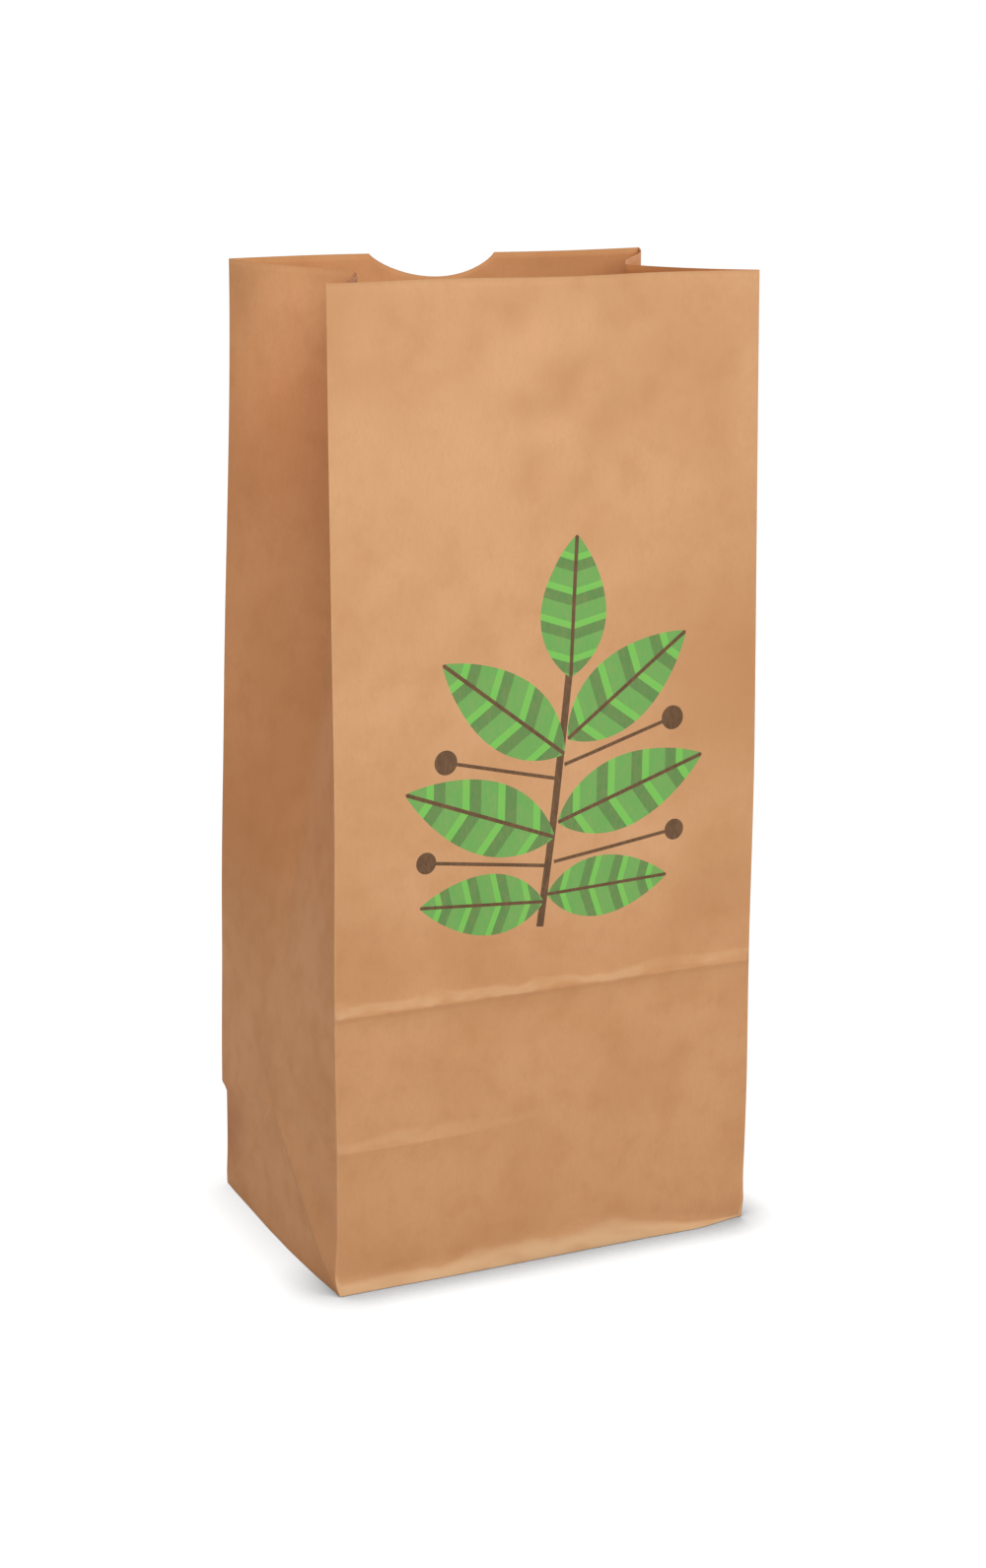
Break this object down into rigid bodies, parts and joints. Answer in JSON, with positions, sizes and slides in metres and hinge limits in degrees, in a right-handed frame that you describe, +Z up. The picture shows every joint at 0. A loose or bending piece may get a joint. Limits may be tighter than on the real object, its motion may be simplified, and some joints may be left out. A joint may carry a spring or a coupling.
{
  "type": "paper lunch bag",
  "caption": "Brown kraft paper lunch bag with side gussets, a flat folded bottom and a thumb notch, standing open to hold food.",
  "frame": {"origin": "on the floor, under the middle of the standing bag's plan", "axes": "+Z up from the floor to the mouth, +X to the right along the front panel, -Y out of the front panel"},
  "size_m": [0.1348, 0.0898, 0.275],
  "materials": {
    "kraft_paper": "matt brown kraft, fine fibres, soft creases, a printed leaf design on the front"
  },
  "bodies": {
    "root": {"paper_bag": "kraft_paper"}
  },
  "joints": []
}
